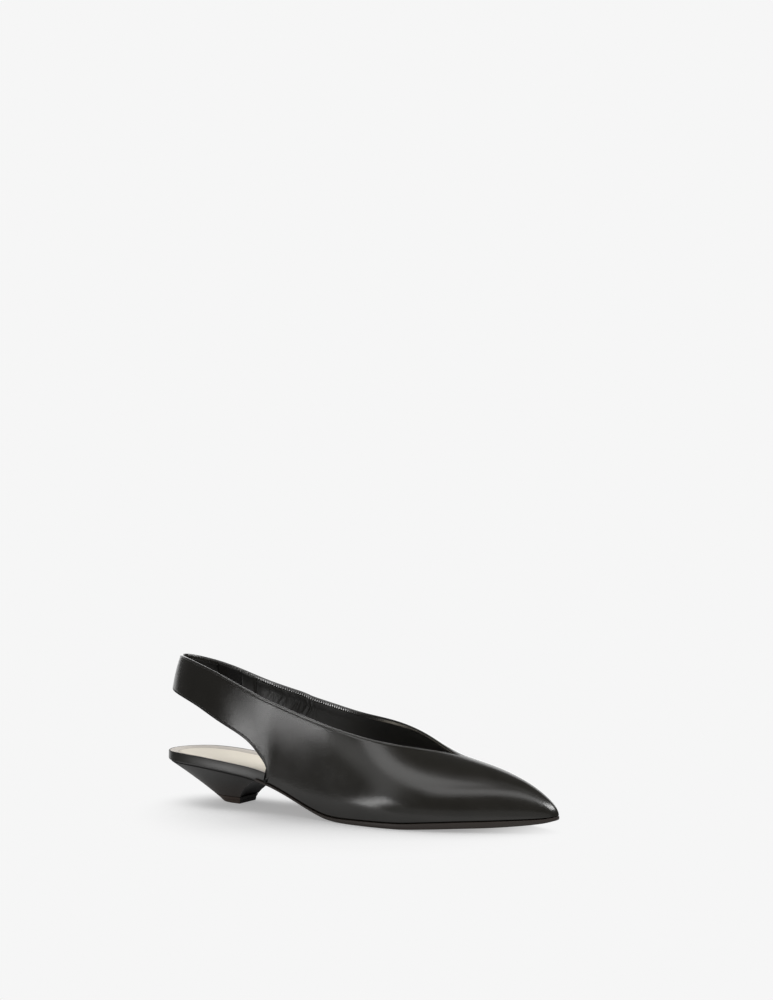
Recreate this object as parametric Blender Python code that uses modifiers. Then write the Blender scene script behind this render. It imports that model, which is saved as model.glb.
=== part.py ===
# Slingback shoe for the right foot, standing on its sole: toe towards +X, little-toe side towards -Y.
# All sizes are millimetres, with x measured from the back of the seat; world() turns them to metres.
import bpy
import bmesh
import numpy as np

MM = 0.001

# Driving dimensions
SHOE_LENGTH = 265.0
WALL = 1.8                # leather and lining together
CLEARANCE = 0.3           # between neighbouring pieces
SOLE_MARGIN = 0.7         # outsole edge beyond the upper
SOLE_BEVEL = 1.2          # chamfer under the outsole edge
SOCK_THICKNESS = 1.2
SOCK_INSET = 0.9          # black rim left showing around the sock at the seat
SOCK_CHAMFER = 0.3
RIM_CHAMFER = 1.0         # rounding of the wrapped insole rim
BREAST_X = 78.0           # where heel block and outsole meet
QUARTER_X = 87.3          # where the quarters come down to the sole
SEAT_START = 0.12         # the insole's first section, just inside the round of the seat
TOE_STOP = 0.05           # the outsole's last section stops this short of the point
INSOLE_END = 254.0        # insole and sock stop short of the closed toe
TOE_SQUEEZE = 1.6         # how much narrower the layers inside are at the toe
TOE_SQUEEZE_SPAN = (215.0, 255.0)
SOCK_SHRINK = 0.3         # share of the sock's inset that is left inside the upper
LAYER_STEP = 0.1          # half length of a step along the insole
HEEL_INSET = 0.8          # heel block inside the insole rim
HEEL_BACK_X = 1.2
HEEL_BACK_HALF_WIDTH = 0.4
TIP_HEIGHT = 4.2          # top piece under the heel
TIP_BACK_X = 40.2
TIP_FRONT_X = 56.3
TIP_HALF_WIDTH = 9.1
TIP_BACK_HALF_WIDTH = 0.3
TIP_ROUND = 0.8           # below 1 squares off the back of the top piece
BREAST_BOW = 2.4          # hollow of the breast across its width
BREAST_SWEEP = 2.0        # how late the breast sweeps forward on the way up
BREAST_TURN = 3           # how close to the breast that sweep begins
FLARE = 1.5               # how late the heel widens on the way up, 1 is a straight side
RIDGE_PULL = 6            # how close to the ridge the two sides of the upper are drawn together
GORE_THICKNESS = 1.0
GORE_SPAN = (13.35, 14.55)    # from and to, in rows of the medial ribs
GORE_RISE = (0.10, 0.93)      # from and to, as a share of the strap's width

# Mesh fineness
STEPS_PER_RIB = 4
STEPS_UP_WALL = 9
SOLE_STATIONS = 40
HEEL_LEVELS = 9
HEEL_STATIONS = 14
BREAST_POINTS = 4
GORE_STEPS = (9, 6)
GORE_PROBE = 0.01         # rows apart, for the direction along the strap
SHARP_ANGLE = 40.0

# Outline of the last's bottom edge
OUTLINE_COLUMNS = ("x", "lateral", "medial")
OUTLINE = (
    (0.0, 0.0, 0.0),
    (3.0, 11.0, 11.0),
    (10.0, 18.6, 18.6),
    (20.0, 22.6, 22.5),
    (35.0, 24.6, 24.2),
    (55.0, 25.3, 23.6),
    (75.0, 26.0, 21.6),
    (95.0, 28.0, 20.6),
    (115.0, 31.2, 22.4),
    (135.0, 35.2, 27.0),
    (155.0, 38.0, 33.2),
    (170.0, 38.5, 37.2),
    (182.0, 37.4, 38.4),
    (205.0, 31.0, 32.3),
    (225.0, 22.0, 23.4),
    (245.0, 11.9, 13.6),
    (258.0, 5.4, 7.4),
    (265.0, -1.0, 1.0),
)

# Heights along the shoe: sole from heel breast to toe, heel seat, and the sock that the foot stands on
SOLE_COLUMNS = ("x", "bottom", "thickness")
SOLE = (
    (71.0, 20.0, 1.3),
    (80.0, 17.8, 1.3),
    (90.0, 15.2, 1.3),
    (100.0, 12.0, 1.2),
    (110.0, 8.4, 1.2),
    (118.0, 5.5, 1.3),
    (126.0, 2.9, 1.6),
    (134.0, 1.0, 1.9),
    (142.0, 0.2, 2.2),
    (150.0, 0.0, 2.5),
    (180.0, 0.0, 3.0),
    (200.0, 0.9, 3.4),
    (215.0, 1.7, 3.5),
    (230.0, 2.6, 3.5),
    (245.0, 4.2, 3.1),
    (258.0, 5.9, 2.4),
    (265.0, 7.1, 2.0),
)
SEAT_COLUMNS = ("x", "heel_top")
SEAT = (
    (0.0, 24.9),
    (14.0, 24.5),
    (30.0, 23.7),
    (45.0, 22.4),
    (60.0, 20.8),
    (72.0, 19.3),
    (80.0, 17.8),
)
SOCK_COLUMNS = ("x", "top")
SOCK = (
    (0.0, 31.4),
    (14.0, 31.4),
    (30.0, 30.8),
    (45.0, 29.6),
    (60.0, 28.1),
    (75.0, 26.4),
    (86.0, 24.3),
    (100.0, 20.4),
    (120.0, 13.6),
    (140.0, 9.6),
    (160.0, 8.2),
    (200.0, 8.6),
    (230.0, 10.4),
    (265.0, 13.6),
)

# Ribs of the upper, toe to back: each runs from the lower edge to the ridge or topline.
# The leans are the rib's angles there: low_lean from straight out, top_lean from straight in.
# The front ribs stand on the outline at foot_x, and the cut ribs have a lower edge of their own.
FRONT_COLUMNS = ("foot_x", "top_x", "top_y", "top_z", "low_lean", "top_lean", "full")
LATERAL_FRONT = (
    (265.0, 265.0, 1.0, 9.4, 80.0, 0.0, 0.34),
    (260.0, 260.0, 1.4, 17.2, 80.0, 0.0, 0.34),
    (245.0, 245.0, 1.6, 26.7, 80.0, 0.0, 0.34),
    (224.0, 224.0, 1.2, 34.3, 80.0, 0.0, 0.34),
    (203.0, 203.0, 0.6, 39.7, 80.0, 4.0, 0.35),
    (177.0, 177.7, -13.4, 44.4, 78.0, 28.0, 0.36),
    (149.0, 152.2, -24.2, 49.4, 78.0, 56.0, 0.36),
    (122.0, 126.6, -28.9, 56.3, 80.0, 77.0, 0.35),
    (102.0, 106.6, -30.0, 62.4, 84.0, 86.0, 0.34),
    (QUARTER_X, 89.6, -30.2, 67.8, 86.0, 90.0, 0.34),
)
MEDIAL_FRONT = (
    (265.0, 265.0, 1.0, 9.4, 80.0, 0.0, 0.34),
    (260.0, 260.0, 1.4, 17.2, 80.0, 0.0, 0.34),
    (245.0, 245.0, 1.6, 26.7, 80.0, 0.0, 0.34),
    (224.0, 224.0, 1.2, 34.3, 80.0, 0.0, 0.34),
    (203.0, 203.0, 0.6, 39.7, 80.0, 4.0, 0.35),
    (177.0, 177.7, 11.4, 48.5, 80.0, 28.0, 0.36),
    (149.0, 151.2, 21.2, 54.7, 78.0, 56.0, 0.36),
    (122.0, 126.6, 26.3, 57.6, 74.0, 79.0, 0.35),
    (102.0, 106.6, 27.5, 61.4, 74.0, 88.0, 0.34),
    (QUARTER_X, 89.6, 27.6, 65.3, 76.0, 92.0, 0.34),
)
CUT_COLUMNS = ("low_x", "low_y", "low_z", "top_x", "top_y", "top_z", "low_lean", "top_lean", "full", "turn")
LATERAL_CUT = (
    (86.6, -27.8, 26.7, 84.5, -30.3, 69.6, 86.0, 90.0, 0.34, 0.0),
    (81.8, -28.6, 34.2, 78.4, -30.2, 72.0, 87.0, 90.0, 0.34, 0.0),
    (71.7, -29.4, 43.6, 67.3, -29.6, 76.4, 89.0, 89.0, 0.34, 2.0),
    (52.6, -29.0, 52.8, 50.3, -27.3, 82.6, 92.0, 86.0, 0.34, 10.0),
    (32.6, -25.0, 61.3, 32.8, -22.0, 87.3, 96.0, 82.0, 0.34, 28.0),
    (12.1, -16.6, 67.0, 16.5, -13.9, 90.5, 97.0, 73.0, 0.34, 52.0),
    (0.0, 0.0, 69.1, 5.5, 0.0, 91.5, 98.0, 68.0, 0.34, 90.0),
)
MEDIAL_CUT = (
    (86.6, 22.4, 26.7, 84.5, 27.7, 66.8, 78.0, 91.0, 0.34, 0.0),
    (81.8, 24.0, 34.2, 78.4, 27.7, 68.6, 82.0, 90.0, 0.34, 0.0),
    (71.7, 25.6, 42.6, 66.3, 27.4, 71.5, 86.0, 90.0, 0.34, 2.0),
    (52.6, 26.6, 50.8, 50.3, 26.0, 76.1, 90.0, 88.0, 0.34, 10.0),
    (32.6, 24.0, 59.0, 32.8, 21.8, 82.7, 96.0, 83.0, 0.34, 28.0),
    (12.1, 16.6, 65.6, 16.5, 14.1, 88.3, 97.0, 74.0, 0.34, 52.0),
    (0.0, 0.0, 69.1, 5.5, 0.0, 91.5, 98.0, 68.0, 0.34, 90.0),
)
THROAT_ROW = 4            # the row of both front tables that ends in the point of the V


def column(table, columns, name):
    return np.array([row[columns.index(name)] for row in table])


def spline(values, at, flat_start=False, flat_end=False, knots=None):
    """Cubic spline through the rows, with free or flat ends."""
    values = np.asarray(values, float)
    knots = np.arange(len(values), dtype=float) if knots is None else np.asarray(knots, float)
    count = len(knots)
    step = np.diff(knots)
    slope = np.diff(values) / step
    matrix = np.zeros((count, count))
    right = np.zeros(count)
    for i in range(1, count - 1):
        matrix[i, i - 1:i + 2] = step[i - 1], 2.0 * (step[i - 1] + step[i]), step[i]
        right[i] = 6.0 * (slope[i] - slope[i - 1])
    matrix[0, 0] = matrix[-1, -1] = 1.0
    if flat_start:
        matrix[0, :2] = 2.0, 1.0
        right[0] = 6.0 * slope[0] / step[0]
    if flat_end:
        matrix[-1, -2:] = 1.0, 2.0
        right[-1] = -6.0 * slope[-1] / step[-1]
    bend = np.linalg.solve(matrix, right)
    at = np.asarray(at, float)
    i = np.clip(np.searchsorted(knots, at, side="right") - 1, 0, count - 2)
    run = at - knots[i]
    first = slope[i] - step[i] * (2.0 * bend[i] + bend[i + 1]) / 6.0
    third = (bend[i + 1] - bend[i]) / (6.0 * step[i])
    return values[i] + run * (first + run * (bend[i] / 2.0 + run * third))


def profile(table, columns, name, x):
    """Height along the shoe through a table's rows, never overshooting them."""
    knots = column(table, columns, "x")
    values = column(table, columns, name)
    x = np.clip(np.asarray(x, float), knots[0], knots[-1])
    slope = np.diff(values) / np.diff(knots)
    tangent = np.concatenate(([slope[0]], np.zeros(len(slope) - 1), [slope[-1]]))
    for i in range(1, len(slope)):
        if slope[i - 1] * slope[i] > 0.0:
            tangent[i] = 2.0 * slope[i - 1] * slope[i] / (slope[i - 1] + slope[i])
    i = np.clip(np.searchsorted(knots, x, side="right") - 1, 0, len(slope) - 1)
    step = knots[i + 1] - knots[i]
    t = (x - knots[i]) / step
    start = values[i] * (1.0 + 2.0 * t) * (1.0 - t) ** 2 + tangent[i] * step * t * (1.0 - t) ** 2
    return start + values[i + 1] * t * t * (3.0 - 2.0 * t) + tangent[i + 1] * step * t * t * (t - 1.0)


def outline(side, x):
    """Distance of the last's bottom edge from the centre line; round at the seat and at the toe."""
    turn = np.arccos(1.0 - 2.0 * np.clip(np.asarray(x, float) / SHOE_LENGTH, 0.0, 1.0))
    knots = np.arccos(1.0 - 2.0 * column(OUTLINE, OUTLINE_COLUMNS, "x") / SHOE_LENGTH)
    return spline(column(OUTLINE, OUTLINE_COLUMNS, side), turn, knots=knots)


def sole_bottom(x):
    return profile(SOLE, SOLE_COLUMNS, "bottom", x)


def sole_top(x):
    return sole_bottom(x) + profile(SOLE, SOLE_COLUMNS, "thickness", x)


def heel_top(x):
    return profile(SEAT, SEAT_COLUMNS, "heel_top", x)


def sock_top(x):
    return profile(SOCK, SOCK_COLUMNS, "top", x)


def rounded_stations(start, end, count):
    """Places along the shoe, closer together towards both round ends."""
    return start + (end - start) * (1.0 - np.cos(np.linspace(0.0, np.pi, count))) / 2.0


def world(points):
    """Millimetres from the back of the seat to metres from the middle of the shoe."""
    points = np.asarray(points, float).reshape(-1, 3)
    return (points - (SHOE_LENGTH / 2.0, 0.0, 0.0)) * MM


def finish(name, colour, roughness):
    """A dull dielectric surface in one colour."""
    material = bpy.data.materials.new(name)
    material.use_nodes = True
    shader = material.node_tree.nodes["Principled BSDF"]
    shader.inputs["Base Color"].default_value = (*colour, 1.0)
    shader.inputs["Roughness"].default_value = roughness
    shader.inputs["Metallic"].default_value = 0.0
    return material


def piece(name, points, faces, material):
    """One named object of the shoe from points in millimetres."""
    mesh = bpy.data.meshes.new(name)
    mesh.from_pydata(world(points).tolist(), [], faces)
    mesh.materials.append(material)
    mesh.shade_smooth()
    mesh.set_sharp_from_angle(angle=np.radians(SHARP_ANGLE))
    made = bpy.data.objects.new(name, mesh)
    shoe.objects.link(made)
    made.parent = reference
    return made


def loft(name, rings, material):
    """A closed solid through rings of points; point i of a ring faces point n-1-i across it."""
    rings = np.asarray(rings, float)
    levels, around = rings.shape[:2]
    faces = []
    for level in range(levels - 1):
        for i in range(around):
            low, high = level * around, (level + 1) * around
            j = (i + 1) % around
            faces.append((low + i, low + j, high + j, high + i))
    last = (levels - 1) * around
    for i in range(around // 2 - 1):
        strip = (i, i + 1, around - 2 - i, around - 1 - i)
        faces.append(tuple(reversed(strip)))
        faces.append(tuple(last + k for k in strip))
    made = piece(name, rings, faces, material)
    form = bmesh.new()
    form.from_mesh(made.data)
    bmesh.ops.recalc_face_normals(form, faces=form.faces)
    form.to_mesh(made.data)
    form.free()
    return made


def plate_ring(x, lateral, medial, bottom, top, low_cut=0.0, high_cut=0.0):
    """Cross-section of a flat layer at x, with chamfered lower and upper edges."""
    cut = min(low_cut, (top - bottom) / 2.0, (lateral + medial) / 3.0)
    rise = min(high_cut, (top - bottom) / 3.0, (lateral + medial) / 3.0)
    edge = ((cut, bottom), (0.0, bottom + cut), (0.0, top - rise), (rise, top))
    near = [(x, -lateral + inside, z) for inside, z in edge]
    far = [(x, medial - inside, z) for inside, z in edge]
    return near + far[::-1]


# Outsole: toe to heel breast, flat on the floor under the ball
def build_outsole(material):
    start, tip = BREAST_X + CLEARANCE, SHOE_LENGTH - TOE_STOP
    rings = []
    for x in start + (tip - start) * np.sin(np.linspace(0.0, np.pi / 2.0, SOLE_STATIONS)):
        lateral, medial = outline("lateral", x) + SOLE_MARGIN, outline("medial", x) + SOLE_MARGIN
        rings.append(plate_ring(x, lateral, medial, sole_bottom(x), sole_top(x), low_cut=SOLE_BEVEL))
    return loft("outsole", rings, material)


# Insole: its wrapped rim is the full outline behind the quarters, and fits inside the upper before them
def layer_inset(x, open_inset):
    if x < QUARTER_X - 2.0 * CLEARANCE:
        return open_inset
    start, end = TOE_SQUEEZE_SPAN
    squeeze = TOE_SQUEEZE * np.clip((x - start) / (end - start), 0.0, 1.0)
    return WALL + 2.0 * CLEARANCE + squeeze + open_inset * SOCK_SHRINK


def layer_stations(start, end):
    even = rounded_stations(start, end, SOLE_STATIONS)
    steps = (BREAST_X + CLEARANCE / 2.0, QUARTER_X - 2.0 * CLEARANCE)
    around = [step + side for step in steps for side in (-LAYER_STEP, LAYER_STEP)]
    return np.sort(np.concatenate((even, around)))


def insole_bottom(x):
    carrier = heel_top(x) if x < BREAST_X + CLEARANCE / 2.0 else sole_top(x)
    return carrier + CLEARANCE


def insole_top(x):
    return sock_top(x) - SOCK_THICKNESS - CLEARANCE


def build_insole(material):
    rings = []
    for x in layer_stations(SEAT_START, INSOLE_END):
        inset = layer_inset(x, 0.0)
        lateral, medial = outline("lateral", x) - inset, outline("medial", x) - inset
        bottom, top = insole_bottom(x), insole_top(x)
        rings.append(plate_ring(x, lateral, medial, bottom, top, RIM_CHAMFER, RIM_CHAMFER))
    return loft("insole", rings, material)


def build_sock(material):
    rings = []
    for x in layer_stations(SOCK_INSET, INSOLE_END - SOCK_INSET):
        inset = layer_inset(x, SOCK_INSET)
        lateral, medial = outline("lateral", x) - inset, outline("medial", x) - inset
        bottom, top = insole_top(x) + CLEARANCE, sock_top(x)
        rings.append(plate_ring(x, lateral, medial, bottom, top, high_cut=SOCK_CHAMFER))
    return loft("sock_lining", rings, material)


# Heel: strings run from the seat outline down to the top piece; the back is straight, the breast hollow
def heel_string(along, side, z_share):
    """Point on the heel: along runs from the back to the breast, z_share from the floor to the seat."""
    swing = np.cos(along * np.pi / 2.0)
    top_x = HEEL_BACK_X + (BREAST_X - CLEARANCE - HEEL_BACK_X) * (1.0 - swing)
    top_y = max(outline(side, top_x) - HEEL_INSET, HEEL_BACK_HALF_WIDTH)
    tip_x = TIP_BACK_X + (TIP_FRONT_X - TIP_BACK_X) * (1.0 - swing)
    tip_y = max(TIP_HALF_WIDTH * np.sin(along * np.pi / 2.0) ** TIP_ROUND, TIP_BACK_HALF_WIDTH)
    sweep = 1.0 + (BREAST_SWEEP - 1.0) * along ** BREAST_TURN
    x = tip_x + (top_x - tip_x) * z_share ** sweep
    y = tip_y + (top_y - tip_y) * z_share ** FLARE
    return x, -y if side == "lateral" else y, heel_top(top_x) * z_share


def heel_ring(height_at):
    """Ring around the heel, where height_at gives the share of a string from its height at the seat."""
    alongs = np.linspace(0.0, 1.0, HEEL_STATIONS)
    seat = [heel_string(along, "lateral", 1.0)[2] for along in alongs]
    shares = [height_at(z) for z in seat]
    near = [heel_string(along, "lateral", share) for along, share in zip(alongs, shares)]
    far = [heel_string(along, "medial", share) for along, share in zip(alongs, shares)]
    corner, other = np.array(near[-1]), np.array(far[-1])
    bow = BREAST_BOW * np.sin(np.pi * shares[-1])
    breast = []
    for across in np.linspace(0.0, 1.0, BREAST_POINTS + 2)[1:-1]:
        point = corner + (other - corner) * across
        point[0] -= bow * np.sin(np.pi * across)
        breast.append(tuple(point))
    return near + breast + far[::-1]


def build_heel(material):
    foot = TIP_HEIGHT + CLEARANCE
    levels = np.linspace(0.0, 1.0, HEEL_LEVELS)
    rings = [heel_ring(lambda z: (foot + (z - foot) * level) / z) for level in levels]
    return loft("heel", rings, material)


def build_top_piece(material):
    return loft("top_piece", [heel_ring(lambda z: height / z) for height in (0.0, TIP_HEIGHT)], material)


# Upper: one open surface from both sides' ribs, joined along the ridge and at the back, then given its wall
def side_tables(side):
    """Front ribs, cut ribs and the direction of one side."""
    if side == "lateral":
        return LATERAL_FRONT, LATERAL_CUT, -1.0
    return MEDIAL_FRONT, MEDIAL_CUT, 1.0


def whole_column(side, name):
    front, cut, _ = side_tables(side)
    return np.concatenate((column(front, FRONT_COLUMNS, name), column(cut, CUT_COLUMNS, name)))


def low_edge(side, rows):
    """Lower edge: along the outline as far as the quarter's corner, then free around the back."""
    front, cut, sign = side_tables(side)
    corner = len(front) - 1
    foot = spline(column(front, FRONT_COLUMNS, "foot_x"), np.minimum(rows, corner), flat_start=True)
    foot = np.minimum(foot, SHOE_LENGTH)
    low = np.stack((foot, sign * outline(side, foot), sole_top(foot) + CLEARANCE), -1)
    start = (QUARTER_X, sign * outline(side, QUARTER_X), sole_top(QUARTER_X) + CLEARANCE)
    behind = rows > corner
    for axis, name in enumerate(("low_x", "low_y", "low_z")):
        edge = np.concatenate(([start[axis]], column(cut, CUT_COLUMNS, name)))
        low[behind, axis] = spline(edge, rows[behind] - corner, flat_end=name != "low_y")
    return low


def top_edge(side, rows):
    """Upper edge: the ridge from the toe to the throat, then the topline to the back."""
    edge = []
    for name in ("top_x", "top_y", "top_z"):
        flat = name != "top_y"
        edge.append(spline(whole_column(side, name), rows, flat_start=name == "top_x", flat_end=flat))
    return np.stack(edge, -1)


def wall_surface(side, rows, rises):
    """Points of the upper's outer face, one column for each row number, one point for each rise."""
    rows = np.asarray(rows, float)
    front, cut, sign = side_tables(side)
    low, top = low_edge(side, rows), top_edge(side, rows)
    turn = np.concatenate((np.zeros(len(front)), column(cut, CUT_COLUMNS, "turn")))
    turn = np.radians(spline(turn, rows))
    out = np.stack((-np.sin(turn), sign * np.cos(turn), np.zeros(len(turn))), -1)
    up = np.array((0.0, 0.0, 1.0))
    reach = (spline(whole_column(side, "full"), rows) * np.linalg.norm(top - low, axis=1))[:, None]
    low_lean = np.radians(spline(whole_column(side, "low_lean"), rows))[:, None]
    top_lean = np.radians(spline(whole_column(side, "top_lean"), rows))[:, None]
    near = low + reach * (out * np.cos(low_lean) + up * np.sin(low_lean))
    far = top - reach * (-out * np.cos(top_lean) + up * np.sin(top_lean))
    # in front of the throat both sides end on one ridge
    ridge = (top_edge("lateral", rows) + top_edge("medial", rows)) / 2.0
    pull = np.where((rows <= THROAT_ROW)[:, None], ridge - top, 0.0)
    t = np.asarray(rises, float)[None, :, None]
    low, near, far, top, pull = (p[:, None, :] for p in (low, near, far, top, pull))
    rib = low * (1 - t) ** 3 + 3 * near * t * (1 - t) ** 2 + 3 * far * t * t * (1 - t) + top * t ** 3
    return rib + pull * t ** RIDGE_PULL


def build_upper(material):
    row_count = len(LATERAL_FRONT) + len(LATERAL_CUT) - 1
    rows = np.linspace(0.0, row_count, row_count * STEPS_PER_RIB + 1)
    rises = np.linspace(0.0, 1.0, STEPS_UP_WALL + 1)
    points, number = [], {}
    faces = []
    for side in ("lateral", "medial"):
        grid = wall_surface(side, rows, rises)
        for i in range(len(rows)):
            for j in range(len(rises)):
                ridge = j == len(rises) - 1 and rows[i] <= THROAT_ROW
                shared = i == len(rows) - 1 or ridge
                key = ("toe",) if i == 0 else ("both" if shared else side, i, j)
                if key not in number:
                    number[key] = len(points)
                    points.append(grid[i, j])
                number[side, "at", i, j] = number[key]
        for i in range(len(rows) - 1):
            for j in range(len(rises) - 1):
                corners = ((i, j), (i + 1, j), (i + 1, j + 1), (i, j + 1))
                face = [number[(side, "at") + corner] for corner in corners]
                face = list(dict.fromkeys(face))
                faces.append(tuple(face if side == "medial" else reversed(face)))
    upper = piece("upper", points, faces, material)
    wall = upper.modifiers.new("wall", "SOLIDIFY")
    wall.thickness = WALL * MM
    wall.offset = -1.0
    wall.use_even_offset = True
    wall.use_quality_normals = True
    return upper


# Elastic gore: a band inside the medial strap, cut from the upper's own surface
def build_gore(material):
    rows = np.linspace(*GORE_SPAN, GORE_STEPS[0])
    rises = np.linspace(*GORE_RISE, GORE_STEPS[1])
    middle = wall_surface("medial", rows, rises)
    ahead = wall_surface("medial", rows + GORE_PROBE, rises)
    along = ahead - wall_surface("medial", rows - GORE_PROBE, rises)
    inward = -np.cross(along, np.gradient(middle, axis=1))
    inward /= np.linalg.norm(inward, axis=2, keepdims=True)
    outer = middle + inward * (WALL + CLEARANCE)
    inner = outer + inward * GORE_THICKNESS
    rings = [np.concatenate((outer[i], inner[i][::-1])) for i in range(len(rows))]
    return loft("elastic_gore", rings, material)


for old in list(bpy.data.objects):
    bpy.data.objects.remove(old, do_unlink=True)
shoe = bpy.data.collections.new("slingback_shoe")
bpy.context.scene.collection.children.link(shoe)
reference = bpy.data.objects.new("shoe_reference", None)
shoe.objects.link(reference)

build_outsole(finish("sole_leather", (0.035, 0.028, 0.024), 0.45))
build_insole(finish("wrapped_rim", (0.012, 0.012, 0.012), 0.35))
build_sock(finish("pale_sock", (0.64, 0.59, 0.52), 0.6))
build_heel(finish("heel_cover", (0.012, 0.012, 0.012), 0.32))
build_top_piece(finish("tip_rubber", (0.03, 0.022, 0.018), 0.6))
build_upper(finish("black_calf", (0.012, 0.012, 0.012), 0.32))
build_gore(finish("elastic", (0.02, 0.02, 0.02), 0.8))
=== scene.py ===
# Slingback shoe for the right foot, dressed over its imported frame.
# Sizes are millimetres from the back of the seat: toe towards +X, little-toe side towards -Y.
import math

import bmesh
import bpy
import numpy as np
from mathutils import Matrix, Quaternion, Vector


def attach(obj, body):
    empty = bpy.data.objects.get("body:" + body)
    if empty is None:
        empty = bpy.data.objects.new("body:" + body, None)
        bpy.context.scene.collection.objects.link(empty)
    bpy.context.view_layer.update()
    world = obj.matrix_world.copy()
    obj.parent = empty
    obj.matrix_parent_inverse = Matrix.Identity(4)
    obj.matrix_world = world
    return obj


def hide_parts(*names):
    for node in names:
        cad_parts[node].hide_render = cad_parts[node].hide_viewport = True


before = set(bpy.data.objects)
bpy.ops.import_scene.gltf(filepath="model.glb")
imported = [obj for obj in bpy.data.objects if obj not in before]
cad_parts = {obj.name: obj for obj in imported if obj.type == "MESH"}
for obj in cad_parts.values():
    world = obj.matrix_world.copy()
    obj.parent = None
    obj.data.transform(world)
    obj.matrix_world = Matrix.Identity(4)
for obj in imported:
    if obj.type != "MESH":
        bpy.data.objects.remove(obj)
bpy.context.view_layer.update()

mm = 0.001  # metres
shoe = dict(length=265.0, gap=0.3, quarterX=87.3, breastX=78.0, throatRow=4, cornerRow=9, backRow=16,
            ridgePull=6)
sides = {"lateral": -1.0, "medial": 1.0}

# half widths of the last's bottom edge
outlineTable = {
    "x": (0, 3, 10, 20, 35, 55, 75, 95, 115, 135, 155, 170, 182, 205, 225, 245, 258, 265),
    "lateral": (0, 11, 18.6, 22.6, 24.6, 25.3, 26, 28, 31.2, 35.2, 38, 38.5, 37.4, 31, 22, 11.9, 5.4, -1),
    "medial": (0, 11, 18.6, 22.5, 24.2, 23.6, 21.6, 20.6, 22.4, 27, 33.2, 37.2, 38.4, 32.3,
               23.4, 13.6, 7.4, 1),
}
soleTable = {
    "x": (71, 80, 90, 100, 110, 118, 126, 134, 142, 150, 180, 200, 215, 230, 245, 258, 265),
    "bottom": (20, 17.8, 15.2, 12, 8.4, 5.5, 2.9, 1, 0.2, 0, 0, 0.9, 1.7, 2.4, 3.6, 5.3, 7.1),
    "thickness": (1.3, 1.3, 1.3, 1.2, 1.2, 1.3, 1.6, 1.9, 2.2, 2.5, 3, 3.4, 3.5, 3.5, 3.1, 2.4, 2),
}
seatTable = {"x": (0, 14, 30, 45, 60, 72, 80), "top": (24.9, 24.5, 23.7, 22.4, 20.8, 19.3, 17.8)}
sockTable = {
    "x": (0, 14, 30, 45, 60, 75, 86, 100, 120, 140, 160, 200, 230, 265),
    "top": (31.4, 31.4, 30.8, 29.6, 28.1, 26.4, 24.3, 20.4, 13.6, 9.6, 8.2, 8.6, 10.4, 13.6),
}

# ribs of the upper from toe to back; lowX to lowZ is the free lower edge behind the quarter's corner
ribTables = {
    "lateral": {
        "topX": (265, 260, 245, 224, 203, 177.7, 152.2, 126.6, 106.6,
                 89.6, 84.5, 78.4, 67.3, 50.3, 32.8, 16.5, 5.5),
        "topY": (1, 1.4, 1.6, 1.2, 0.6, -13.4, -24.2, -28.9, -30,
                 -30.2, -30.3, -30.2, -29.6, -27.3, -22, -13.9, 0),
        "topZ": (9.4, 17.2, 26.7, 34.3, 39.7, 44.4, 49.4, 56.3, 62.4,
                 67.8, 69.6, 72, 76.4, 82.6, 87.3, 90.5, 91.5),
        "lowLean": (80, 80, 80, 80, 80, 78, 78, 80, 84, 86, 86, 87, 89, 92, 96, 97, 98),
        "topLean": (0, 0, 0, 0, 4, 28, 56, 77, 86, 90, 90, 90, 89, 86, 82, 73, 68),
        "lowX": (86.6, 81.8, 71.7, 52.6, 32.6, 12.1, 0),
        "lowY": (-27.8, -28.6, -29.4, -29, -25, -16.6, 0),
        "lowZ": (26.7, 34.2, 43.6, 52.8, 61.3, 67, 69.1),
    },
    "medial": {
        "topX": (265, 260, 245, 224, 203, 177.7, 151.2, 126.6, 106.6,
                 89.6, 84.5, 78.4, 66.3, 50.3, 32.8, 16.5, 5.5),
        "topY": (1, 1.4, 1.6, 1.2, 0.6, 11.4, 21.2, 26.3, 27.5, 27.6, 27.7, 27.7, 27.4, 26, 21.8, 14.1, 0),
        "topZ": (9.4, 17.2, 26.7, 34.3, 39.7, 48.5, 54.7, 57.6, 61.4,
                 65.3, 66.8, 68.6, 71.5, 76.1, 82.7, 88.3, 91.5),
        "lowLean": (80, 80, 80, 80, 80, 80, 78, 74, 74, 76, 78, 82, 86, 90, 96, 97, 98),
        "topLean": (0, 0, 0, 0, 4, 28, 56, 79, 88, 92, 91, 90, 90, 88, 83, 74, 68),
        "lowX": (86.6, 81.8, 71.7, 52.6, 32.6, 12.1, 0),
        "lowY": (22.4, 24, 25.6, 26.6, 24, 16.6, 0),
        "lowZ": (26.7, 34.2, 42.6, 50.8, 59, 65.6, 69.1),
    },
    "footX": (265, 260, 245, 224, 203, 177, 149, 122, 102, 87.3),
    "full": (0.34, 0.34, 0.34, 0.34, 0.35, 0.36, 0.36, 0.35) + (0.34,) * 9,
    "turn": (0,) * 12 + (2, 10, 28, 52, 90),
}


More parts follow.
